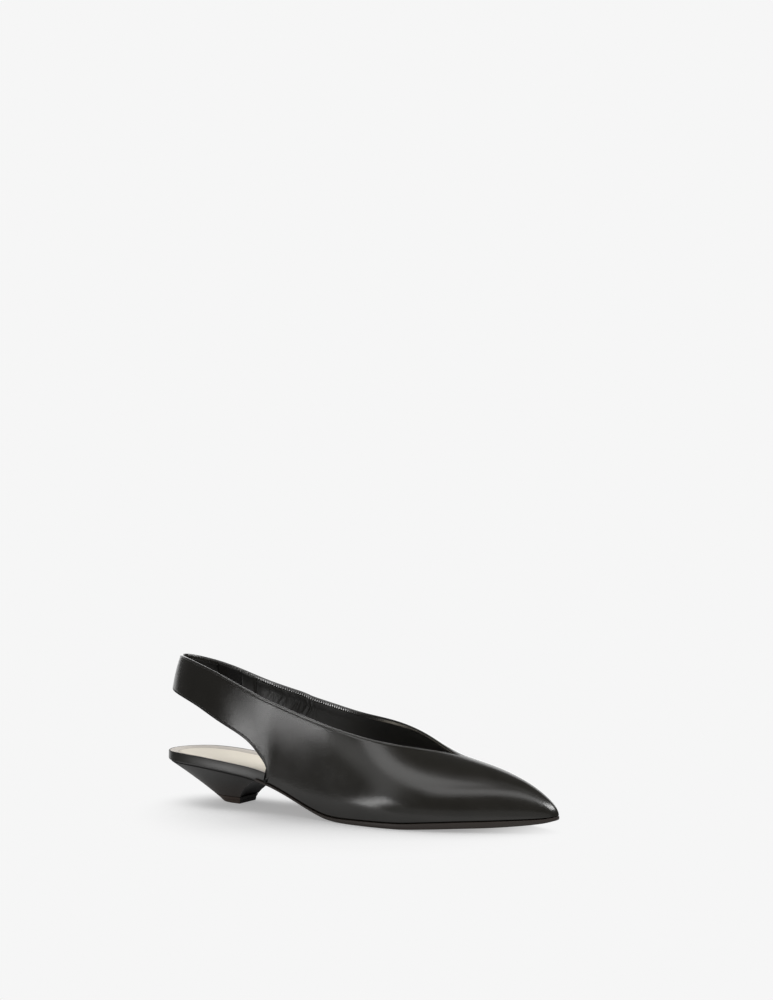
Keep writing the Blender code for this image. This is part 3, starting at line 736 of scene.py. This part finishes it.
def alongPaths(name, paths, tree, sizes):
    points, edges = [], []
    for path in paths:
        edges += [(len(points) + i, len(points) + i + 1) for i in range(len(path) - 1)]
        points += list(path)
    piece = makePiece(name, points, [], None, edges=edges)
    modifier = piece.modifiers.new(tree.name, "NODES")
    modifier.node_group = tree
    for socket in tree.interface.items_tree:
        if socket.in_out == "INPUT" and socket.name in sizes:
            modifier[socket.identifier] = sizes[socket.name]
    return settle(piece)


# rows and rises are a start, an end and a count
goreLook = dict(rows=(13.35, 14.55, 30), rises=(0.10, 0.93, 40), depth=2.1, thickness=0.62, ribs=24,
                cord=0.36, cordSides=8, nudge=0.01, smooth=50)
elasticLook = dict(fixed={"Specular IOR Level": 0.2, "Sheen Weight": 0.05}, noise=(3000.0, 3.0, 0.7),
                   dark=(0.004, 0.004, 0.004, 1), light=(0.010, 0.0098, 0.0095, 1), roughness=0.7,
                   spread=0.25, relief=(0.4, 0.0001))
tabLook = dict(rows=((13.24, 13.82, 24), (14.22, 14.7, 24)), rises=(0.06, 0.955, 60), depth=(1.9, 3.15),
               round=(4, 12), thinnest=0.02, smooth=60, seams=(13.72, 14.31), seamRises=(0.14, 0.9, 30),
               seamLift=0.02)


# points of the strap's middle line field and their way into the shoe
def goreField(rows, rises):
    nudge = goreLook["nudge"]
    middle = wallSurface("medial", rows, rises)
    ahead = wallSurface("medial", rows + nudge, rises) - wallSurface("medial", rows - nudge, rises)
    return middle, -unit(np.cross(ahead, np.gradient(middle, axis=1)))


def tabSwell(count, power):
    across = np.linspace(-1, 1, count) ** 2
    return np.sqrt(np.maximum(1 - across ** power, tabLook["thinnest"]))


# lining leather folded over each end of the elastic
def buildTab(name, rows, finish):
    middle, inward = goreField(np.linspace(*rows), np.linspace(*tabLook["rises"]))
    swell = np.outer(*map(tabSwell, middle.shape, tabLook["round"]))
    low, high = tabLook["depth"]
    inner = middle + inward * (low + (high - low) * swell)[..., None]
    return band(name, middle + inward * low, inner, finish, tabLook["smooth"])


def buildGore(finish):
    rises = np.linspace(*goreLook["rises"])
    middle, inward = goreField(np.linspace(*goreLook["rows"]), rises)
    outer = middle + inward * goreLook["depth"]
    inner = outer + inward * goreLook["thickness"]
    web = band("elasticWeb", outer, inner, finish, goreLook["smooth"])
    paths = []
    for at in np.linspace(1, len(rises) - 2, goreLook["ribs"]):
        i = int(at)
        paths.append(inner[1:-1, i] + (inner[1:-1, i + 1] - inner[1:-1, i]) * (at - i))
    cords = alongPaths("elasticCords", paths, cordTree(finish), {"Radius": goreLook["cord"] * mm})
    return web, cords


# closed solid through rings; point i of a ring faces point n-1-i across it
def loft(name, rings, finish, smoothAngle=None, marks=None):
    rings = np.asarray(rings, float)
    levels, around = rings.shape[:2]
    faces = []
    for level in range(levels - 1):
        for i in range(around):
            low, high, j = level * around, (level + 1) * around, (i + 1) % around
            faces.append((low + i, low + j, high + j, high + i))
    last = (levels - 1) * around
    for i in range(around // 2 - 1):
        strip = (i, i + 1, around - 2 - i, around - 1 - i)
        faces.append(tuple(reversed(strip)))
        faces.append(tuple(last + k for k in strip))
    return makePiece(name, rings, faces, finish, smoothAngle, marks)


slabForm = dict(backPoints=9, middleSpan=(24.0, 225.0), middleWidth=20.0, rawSlope=4, rawStart=0.2)


# closed outline of a flat layer: little-toe side from back to toe, then back along the other side
def layerLoop(stations, inset, crown=0.0, calm=0.0):
    def around(inward):
        near, far = (outline(side, stations) - inward for side in sides)
        cap = np.linspace(far[0], -near[0], slabForm["backPoints"] + 2)[1:-1]
        bow = 1 - (2 * (cap - cap.mean()) / (far[0] + near[0])) ** 2
        x = np.concatenate((stations, stations[::-1], stations[0] - crown * bow))
        return np.column_stack((x, np.concatenate((-near, far[::-1], cap))))

    loop = around(inset(stations))
    plain = around(np.full(len(stations), inset(stations[0])))
    normal = outward(plain)  # square to the outline, also where it narrows
    if calm:  # no crossing of inner rings at tight turns
        step = np.linalg.norm(np.roll(plain, -1, axis=0) - plain, axis=1)
        at = np.cumsum(step) - step
        gap = np.abs(at[:, None] - at[None])
        gap = np.minimum(gap, step.sum() - gap)
        normal = unit((np.exp(-(gap / calm) ** 2) * (step + np.roll(step, 1))[None]) @ normal)
    return loop, normal


# layer from (inset, level, lift) steps: level 0 is its lower face, 1 its upper one
def slab(name, loop, normal, steps, lowAt, highAt, finish, smoothAngle, shift=0.0, hold=999.0):
    rings, marks = [], []
    for inset, level, lift in steps:
        edge = min(inset, hold)
        inward = np.minimum(edge - shift * edge / hold, toeReach(loop[:, 0]))
        flat = loop - normal * inward[:, None]
        if inset > hold:  # further in, rings draw towards the middle line
            x = np.clip(flat[:, 0], *slabForm["middleSpan"])
            middle = np.column_stack((x, (outline("medial", x) - outline("lateral", x)) / 2))
            flat = flat + (middle - flat) * (inset - hold) / slabForm["middleWidth"]
        z = lowAt(flat[:, 0]) * (1 - level) + highAt(flat[:, 0]) * level + lift
        rings.append(np.column_stack((flat, z)))
        marks.append(np.full(len(loop), inset))
    marks = np.array(marks)
    raw = np.clip(slabForm["rawSlope"] * marks - slabForm["rawStart"], 0, 1)
    return loft(name, rings, finish, smoothAngle, {"edgeDistance": marks, "rawEdge": raw})


def upperRound(radius, count=5):
    turns = np.linspace(0, math.pi / 2, count)
    return [(radius * (1 - math.cos(t)), 1, -radius * (1 - math.sin(t))) for t in turns]


def lowerRound(radius, count=5):
    return [(inset, 0, -lift) for inset, _, lift in reversed(upperRound(radius, count))]


toeForm = dict(squeeze=1.6, start=215, over=40, reachX=(0, 200, 240, 254), reach=(30, 14, 3.5, 1.2))


# full outline behind the quarters, narrower where the upper closes over it
def layerInset(look):
    openInset, closedInset = look["inset"]
    start, end = look["taper"]

    def inset(x):
        t = np.clip((x - start) / (end - start), 0, 1)
        squeeze = toeForm["squeeze"] * np.clip((x - toeForm["start"]) / toeForm["over"], 0, 1)
        return openInset + (closedInset + squeeze - openInset) * t * t * (3 - 2 * t)
    return inset


# closer together at both ends and where the quarters start
def layerStations(look):
    start, end, count = look["span"]
    spread = start + (end - start) * (1 - np.cos(np.linspace(0, math.pi, count))) / 2
    return np.sort(np.concatenate((spread, np.linspace(*look["dense"]))))


# how far in a ring may go before the sides meet in the toe
def toeReach(x):
    return np.interp(x, toeForm["reachX"], toeForm["reach"])


sockLook = dict(thickness=0.7, drop=0.75, dish=1.0, crown=1.0, calm=3.0, round=0.35, inset=(0.9, 3.3),
                taper=(86.2, 87.8), span=(1.6, 253.1, 130), dense=(86.0, 88.0, 9), border=5.6, line=0.24,
                lineEnd=0.5, inner=(9.0, 17.0), smooth=40)
# the pressed line's darker colour is painted shade in its groove
sockSkin = dict(edge=(0.54, 0.5, 0.455, 1), panel=(0.74, 0.685, 0.58, 1), panelAt=(5.3, 5.8),
                lineShade=(0.2, 0.18, 0.16, 1), creased=0.55, lineAt=(5.05, 5.45, 5.75, 6.15),
                soil=(0.33, 0.29, 0.24, 1), soiled=0.1, cloudScale=90.0, clouds=0.12, specks=0.10,
                specular=0.35, roughness=0.5, spread=0.2, panelRough=0.0, fine=(1100.0, 3.0, 0.6),
                poreScale=1500.0, pores=0.4, relief=(0.25, 0.0001))


def sockFace(x):
    return sockTop(x) - sockLook["drop"]


def buildSock(finish):
    inset = layerInset(sockLook)
    loop, normal = layerLoop(layerStations(sockLook), inset, sockLook["crown"], sockLook["calm"])
    border, line, dish = sockLook["border"], sockLook["line"], sockLook["dish"]
    near, far = sockLook["inner"]
    steps = [(far, 0, -dish), (near, 0, -dish), (border, 0, -dish), (1.2, 0, 0.0), (0.0, 0, 0.05)]
    steps += upperRound(sockLook["round"])
    # down to the pressed line, then the flat panel
    steps += [(border * 0.35, 1, -0.35 * dish), (border - 0.55, 1, -0.9 * dish),
              (border - 0.2, 1, -0.96 * dish - line), (border + 0.2, 1, -dish - line),
              (border + sockLook["lineEnd"], 1, -dish), (near, 1, -dish), (far, 1, -dish)]
    least, most = sockLook["inset"]
    narrowed = np.clip(inset(loop[:, 0]) - least, 0, most - least)  # the border keeps its own line
    return slab("sock", loop, normal, steps, lambda x: sockFace(x) - sockLook["thickness"], sockFace, finish,
                sockLook["smooth"], narrowed, border + sockLook["lineEnd"])


rimLook = dict(blackCalf, edges=True, specular=0.6, roughness=0.34, grain=0.3)
# the lip stands round the sock's edge: steps inward with their drop below its top
rimForm = dict(inset=(0.0, 2.4), taper=(86.9, 89.3), span=(0.12, 254.0, 130), dense=(86.7, 89.5, 12),
               lip=((0.0, 0.5), (0.1, 0.2), (0.3, 0.03), (0.55, 0.03), (0.72, 0.2), (0.8, 0.95)),
               floor=((2.5, 1.5), (5.6, 1.95), (9.0, 2.05), (17.0, 2.35)), proud=0.12, round=0.9,
               under=2.5, seatEnd=0.15, smooth=50)


def insoleBottom(x):
    x = np.asarray(x, float)
    carrier = np.where(x < shoe["breastX"] + rimForm["seatEnd"], heelTop(x), soleTop(x))
    return carrier + shoe["gap"]


def buildRim(finish):
    loop, normal = layerLoop(layerStations(rimForm), layerInset(rimForm))
    steps = [(rimForm["under"], 0, 0.0)] + lowerRound(rimForm["round"]) + [(0.0, 0.5, 0.0)]
    steps += [(inward, 1, -fall) for inward, fall in rimForm["lip"] + rimForm["floor"]]
    return slab("wrappedRim", loop, normal, steps, insoleBottom, lambda x: sockFace(x) + rimForm["proud"],
                finish, rimForm["smooth"])


# steps from the middle of the underside, past its stitch channel and bevel, to the upper face
soleForm = {"margin": 0.7, "toeEnd": 0.05, "stations": 120, "smooth": 45, "steps": (
    (7.0, 0, 0.0), (6.4, 0, 0.0), (6.1, 0, 0.28), (5.8, 0, 0.28), (5.5, 0, 0.0), (1.6, 0, 0.0), (1.0, 0, 0.0),
    (0.4, 0, 0.04), (0.12, 0, 0.2), (0.0, 0, 0.5), (0.0, 0.55, 0.0), (0.0, 1, -0.3), (0.08, 1, -0.08),
    (0.3, 1, 0.0), (3.0, 1, 0.0))}
soleLook = dict(edge=(0.026, 0.0215, 0.019, 1), panel=(0.05, 0.038, 0.031, 1), panelAt=(0.9, 2.2),
                soil=(0.022, 0.016, 0.013, 1), soiled=0.25, cloudScale=45.0, clouds=0.5, specks=0.0,
                specular=0.22, roughness=0.36, spread=0.2, panelRough=0.1, fine=(700.0, 4.0, 0.65),
                relief=(0.2, 0.00015))


def buildSole(finish):
    start, tip = shoe["breastX"] + shoe["gap"], shoe["length"] - soleForm["toeEnd"]
    stations = start + (tip - start) * np.sin(np.linspace(0, math.pi / 2, soleForm["stations"]))
    loop, normal = layerLoop(stations, lambda x: -soleForm["margin"])
    return slab("sole", loop, normal, soleForm["steps"], soleBottom, soleTop, finish, soleForm["smooth"])


# steps are a level or a height with how far in; tipTop is measured down from tipHeight
heelLook = dict(inset=0.8, backX=1.2, backHalf=0.4, bow=2.4, sweep=2.0, turn=3, flare=1.5, tipHeight=4.2,
                tipBackX=40.2, tipFrontX=56.3, tipHalf=9.1, tipBackHalf=0.3, tipRound=0.8, stations=46,
                across=24, levels=34, coverEnd=0.955,
                coverSteps=[(0.962, 0.06), (0.968, 0.25), (0.972, 0.6), (1.0, 0.7)],
                bevel=dict(width=0.45, segments=3, angle=40, smooth=60),
                tipSteps=[(0.0, 0.5), (0.12, 0.16), (0.4, 0.0), (1.9, 0.0), (2.1, 0.2),
                          (2.3, 0.2), (2.5, 0.0)],
                tipTop=[(0.3, 0.0), (0.1, 0.1), (0.0, 0.4)], tipSmooth=50)


def heelString(along, side, share):
    swing = math.cos(along * math.pi / 2)
    topX = heelLook["backX"] + (shoe["breastX"] - shoe["gap"] - heelLook["backX"]) * (1 - swing)
    topY = max(float(outline(side, topX)) - heelLook["inset"], heelLook["backHalf"])
    tipX = heelLook["tipBackX"] + (heelLook["tipFrontX"] - heelLook["tipBackX"]) * (1 - swing)
    tipY = heelLook["tipHalf"] * math.sin(along * math.pi / 2) ** heelLook["tipRound"]
    tipY = max(tipY, heelLook["tipBackHalf"])
    sweep = 1 + (heelLook["sweep"] - 1) * along ** heelLook["turn"]
    x = tipX + (topX - tipX) * share ** sweep
    y = tipY + (topY - tipY) * share ** heelLook["flare"]
    return x, sides[side] * y, float(heelTop(topX)) * share


def heelRing(shareAt, shrink=0.0):
    alongs = np.linspace(0, 1, heelLook["stations"])
    seat = [heelString(along, "lateral", 1)[2] for along in alongs]
    near = [heelString(along, "lateral", shareAt(z)) for along, z in zip(alongs, seat)]
    far = [heelString(along, "medial", shareAt(z)) for along, z in zip(alongs, seat)]
    corner, other = np.array(near[-1]), np.array(far[-1])
    bow = heelLook["bow"] * math.sin(math.pi * shareAt(seat[-1]))
    breast = []
    for across in np.linspace(0, 1, heelLook["across"] + 2)[1:-1]:
        point = corner + (other - corner) * across
        point[0] -= bow * math.sin(math.pi * across)
        breast.append(tuple(point))
    ring = np.array(near + breast + far[::-1])
    if shrink:
        ring[:, :2] -= outward(ring[:, :2]) * shrink
    return ring


# marks the concave front face of the heel, which gets painted shade
def breastMark(levels):
    ring = np.zeros(2 * heelLook["stations"] + heelLook["across"])
    ring[heelLook["stations"]:heelLook["stations"] + heelLook["across"]] = 1
    return {"breast": np.tile(ring, levels)}


def bevelled(piece, look):
    bevel = piece.modifiers.new("softEdges", "BEVEL")
    bevel.width = look["width"] * mm
    bevel.segments = look["segments"]
    bevel.limit_method = "ANGLE"
    bevel.angle_limit = math.radians(look["angle"])
    bevel.harden_normals = False
    settle(piece).data.shade_smooth()
    piece.data.set_sharp_from_angle(angle=math.radians(look["smooth"]))
    return piece


def buildHeel(finish):
    foot = heelLook["tipHeight"] + shoe["gap"]
    levels = [(level, 0.0) for level in np.linspace(0, heelLook["coverEnd"], heelLook["levels"])]
    levels += heelLook["coverSteps"]
    rings = [heelRing(lambda z: (foot + (z - foot) * level) / z, shrink) for level, shrink in levels]
    return bevelled(loft("heelCover", rings, finish, None, breastMark(len(rings))), heelLook["bevel"])


def buildTip(finish):
    top = heelLook["tipHeight"]
    steps = heelLook["tipSteps"] + [(top - fall, shrink) for fall, shrink in heelLook["tipTop"]]
    rings = [heelRing(lambda z: height / z, shrink) for height, shrink in steps]
    return loft("heelTip", rings, finish, heelLook["tipSmooth"], breastMark(len(rings)))


# the heel and tip finishes below darken their concave front faces to near black: painted shade
heelBlack = (0.008, 0.0074, 0.0065, 1)
heelSkin = dict(blackCalf, deep=heelBlack, worn=heelBlack, specular=0.3, roughness=0.56, spread=0.12,
                coat=0.12, polishScale=80.0, pebbleScale=900.0, pores=0.0, grain=0.15,
                brown=(0.020, 0.0145, 0.0115, 1), browned=0.8, brownAt=(0.006, 0.02), wander=0.004,
                brownRough=0.08, hollow=(0.002, 0.0018, 0.0016, 1), hollowAt=(0.2, 0.9), hollowRough=0.25)
tipLook = dict(fixed={"Specular IOR Level": 0.2}, noise=(1500.0, 4.0, 0.7), dark=(0.02, 0.014, 0.011, 1),
               light=(0.045, 0.03, 0.023, 1), roughness=0.5, spread=0.2, relief=(0.2, 0.0001),
               hollow=(0.0025, 0.0022, 0.002, 1), hollowAt=(0.2, 0.9), hollowRough=0.2)


# camera at the photograph's viewing angle; focal and drop are in pixels of the picture's long side
view = dict(azimuth=28.0, elevation=6.95, roll=0.5, distance=0.935, aim=(0.02118, -0.00075, 0.0452),
            focal=1538.0, drop=240.0, pixels=1000.0, sensor=36.0, far=100.0)


def towards(azimuth, elevation):
    level = math.cos(elevation)
    return Vector((math.sin(azimuth) * level, -math.cos(azimuth) * level, math.sin(elevation)))


camera = bpy.data.objects.new("camera", bpy.data.cameras.new("camera"))
bpy.context.scene.collection.objects.link(camera)
turn, rise, roll = (math.radians(view[key]) for key in ("azimuth", "elevation", "roll"))
behind = towards(turn, rise - math.atan(view["drop"] / view["focal"]))
right = Vector((math.cos(turn), math.sin(turn), 0.0))
up = behind.cross(right)
right, up = right * math.cos(roll) + up * math.sin(roll), up * math.cos(roll) - right * math.sin(roll)
spot = Vector(view["aim"]) + towards(turn, rise) * view["distance"]
camera.matrix_world = Matrix.Translation(spot) @ Matrix((right, up, behind)).transposed().to_4x4()
camera.data.sensor_width = view["sensor"]
camera.data.lens = view["focal"] * view["sensor"] / view["pixels"]
camera.data.clip_end = view["far"]
bpy.context.scene.camera = camera
print("camera set")

# studio: a pale round table in an even surround of the same tone
studio = dict(pale=0.9216, surround=0.14, albedo=0.8, roughness=0.9, glow=0.34, fade=(0.08, 0.14),
              table=0.15, segments=96, centre=(0, 0, 0.03))
# lamps: azimuth, elevation, width, height and tilt in degrees, distance in metres, radiance
softboxes = {
    "keyBox": (-23.5, 2.5, 9.5, 44.0, 41.0, 1.2, 8.5),
    "leftSheet": (-12.0, 38.0, 18.0, 30.0, 0.0, 1.2, 1.15),
    "overBox": (-18.0, 67.0, 42.0, 24.0, 0.0, 1.1, 2.4),
    "frontSheet": (39.0, 51.0, 30.0, 13.0, 0.0, 1.2, 2.8),
    "toeBox": (88.0, 41.0, 40.0, 14.0, 0.0, 1.2, 16.0),
    "frontFill": (24.0, -5.0, 56.0, 28.0, 0.0, 1.3, 0.42),
    "backLow": (-130.0, -4.0, 56.0, 18.0, 0.0, 1.3, 0.9),
    "backSheet": (200.0, 22.0, 90.0, 34.0, 0.0, 1.2, 1.3),
    "topSheet": (15.0, 74.0, 70.0, 24.0, 0.0, 1.1, 0.36),
    "paperWash": (-145.0, 62.0, 60.0, 50.0, 0.0, 2.5, 2.58),
}


def buildStudio():
    scene = bpy.context.scene
    scene.view_settings.view_transform = "Standard"
    world = bpy.data.worlds.new("studio")
    world.use_nodes = True
    world.node_tree.nodes.clear()
    bench = Bench(world.node_tree)
    pale, dim = ((studio[key],) * 3 + (1,) for key in ("pale", "surround"))
    seen = bench.node("ShaderNodeBackground", None, {"Color": pale})
    light = bench.node("ShaderNodeBackground", None, {"Color": dim})
    toCamera = bench.node("ShaderNodeLightPath", output="Is Camera Ray")
    both = bench.node("ShaderNodeMixShader", None, {0: toCamera, 1: light, 2: seen})
    bench.feed(world.node_tree.nodes.new("ShaderNodeOutputWorld"), {"Surface": both})
    scene.world = world
    paper, bench, sheet = newFinish("studioPaper", {
        "Base Color": (studio["albedo"],) * 3 + (1,), "Roughness": studio["roughness"],
        "Specular IOR Level": 0.0, "Emission Color": (1, 1, 1, 1), "Emission Strength": studio["glow"]})
    glow = bench.node("ShaderNodeEmission", None, {"Color": pale})
    radius = bench.node("ShaderNodeVectorMath", {"operation": "LENGTH"}, {0: bench.place()}, "Value")
    both = bench.node("ShaderNodeMixShader", None,
                      {0: radius.within(*studio["fade"]), 1: Wire(bench, sheet.outputs[0]), 2: glow})
    bench.feed(paper.node_tree.nodes["Material Output"], {"Surface": both})
    mesh = bpy.data.meshes.new("floor")
    form = bmesh.new()
    bmesh.ops.create_circle(form, cap_ends=True, segments=studio["segments"], radius=studio["table"])
    form.to_mesh(mesh)
    form.free()
    mesh.materials.append(paper)
    floor = bpy.data.objects.new("floor", mesh)
    scene.collection.objects.link(floor)
    reach = {}
    for who, state in (("shoe", "EXCLUDE"), ("paper", "INCLUDE")):  # what a lamp falls on
        reach[who] = bpy.data.collections.new(who + "Light")
        reach[who].objects.link(floor)
        reach[who].collection_objects[0].light_linking.link_state = state
    for name, (azimuth, elevation, wide, tall, tilt, distance, radiance) in softboxes.items():
        light = bpy.data.lights.new(name, "AREA")
        light.shape = "RECTANGLE"
        light.size = 2 * distance * math.tan(math.radians(wide / 2))
        light.size_y = 2 * distance * math.tan(math.radians(tall / 2))
        light.energy = math.pi * radiance * light.size * light.size_y
        lamp = bpy.data.objects.new(name, light)
        way = towards(math.radians(azimuth), math.radians(elevation))
        lamp.location = way * distance + Vector(studio["centre"])
        lean = Quaternion((0, 0, 1), -math.radians(tilt))
        lamp.rotation_euler = (way.to_track_quat("Z", "Y") @ lean).to_euler()
        lamp.visible_camera = False
        lamp.light_linking.receiver_collection = reach["paper" if name == "paperWash" else "shoe"]
        scene.collection.objects.link(lamp)


buildStudio()
print("studio lit")

calf = calfFinish("blackCalf", flexedCalf)
liningCalf = calfFinish("liningCalf", liningSkin)
foldCalf = calfFinish("foldCalf", foldSkin)


def evenRows(look):
    return np.linspace(0, shoe["backRow"], shoe["backRow"] * look["columnsPerRow"] + 1)


forms = upperForms(evenRows(upperLook), upperLook["ribPoints"])
upper = wallLayer("upperLeather", forms, upperLook, calf)
lining = wallLayer("quarterLining", forms, liningLook, liningCalf)
print("upper and lining shaped", len(upper.data.polygons), len(lining.data.polygons))

thread = fibreFinish("waxedThread", threadLook)
elastic = fibreFinish("ribbedElastic", elasticLook)
fromEdge, lift = stitchLook["fromEdge"], stitchLook["lift"]
inGroove, onLining = upperLook["groove"]["depth"] - lift, liningLook["backDepth"] + lift
paths = []
for form in forms.values():
    paths.append(edgePath(form, "top", *stitchLook["topRows"], fromEdge, inGroove))
    paths.append(edgePath(form, "low", *stitchLook["lowRows"], fromEdge, inGroove))
    paths.append(edgePath(form, "low", *stitchLook["lowRows"], fromEdge, onLining))
sizes = {name.title(): stitchLook[name] * mm for name in ("pitch", "length", "thread")}
sizes["Seed"] = stitchLook["seed"]
stitches = alongPaths("edgeStitches", paths, stitchTree(thread), sizes)
fineForms = upperForms(evenRows(foldLook), foldLook["ribPoints"])
folds = [buildFold(side + "Fold", form, foldCalf) for side, form in fineForms.items()]
web, cords = buildGore(elastic)
tabFinishes = (liningCalf, calfFinish("tabCalf", tabSkin))
tabs = [buildTab("goreTab%d" % i, tabLook["rows"][i], finish) for i, finish in enumerate(tabFinishes)]
seams = []
for row in tabLook["seams"]:
    middle, inward = goreField(np.array((row, row)), np.linspace(*tabLook["seamRises"]))
    seams.append((middle + inward * (tabLook["depth"][1] + tabLook["seamLift"]))[0])
goreStitches = alongPaths("goreStitches", seams, stitchTree(elastic), sizes)
print("stitches sewn", len(stitches.data.polygons), len(goreStitches.data.polygons))

sock = buildSock(borderedFinish("paleSock", sockSkin))
rim = buildRim(calfFinish("rimCalf", rimLook))
sole = buildSole(borderedFinish("stainedSole", soleLook))
heel = buildHeel(calfFinish("heelCalf", heelSkin))
tip = buildTip(fibreFinish("tipRubber", tipLook))
print("sock, rim, sole and heel shaped")

for piece, slot, nodes in (
        (upper, "upper_leather", ("upper",)), (lining, "upper_leather", ()), (stitches, "upper_leather", ()),
        (folds[0], "upper_leather", ()), (folds[1], "upper_leather", ()),
        (tabs[0], "upper_leather", ()), (tabs[1], "upper_leather", ()),
        (web, "elastic", ("elastic_gore",)), (cords, "elastic", ()), (goreStitches, "elastic", ()),
        (sock, "sock", ("sock_lining",)), (rim, "rim_leather", ("insole",)),
        (sole, "sole_leather", ("outsole",)),
        (heel, "heel_leather", ("heel",)), (tip, "tip_rubber", ("top_piece",))):
    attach(piece, "root")
    if nodes:
        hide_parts(*nodes)
print("pieces ride on the frame")
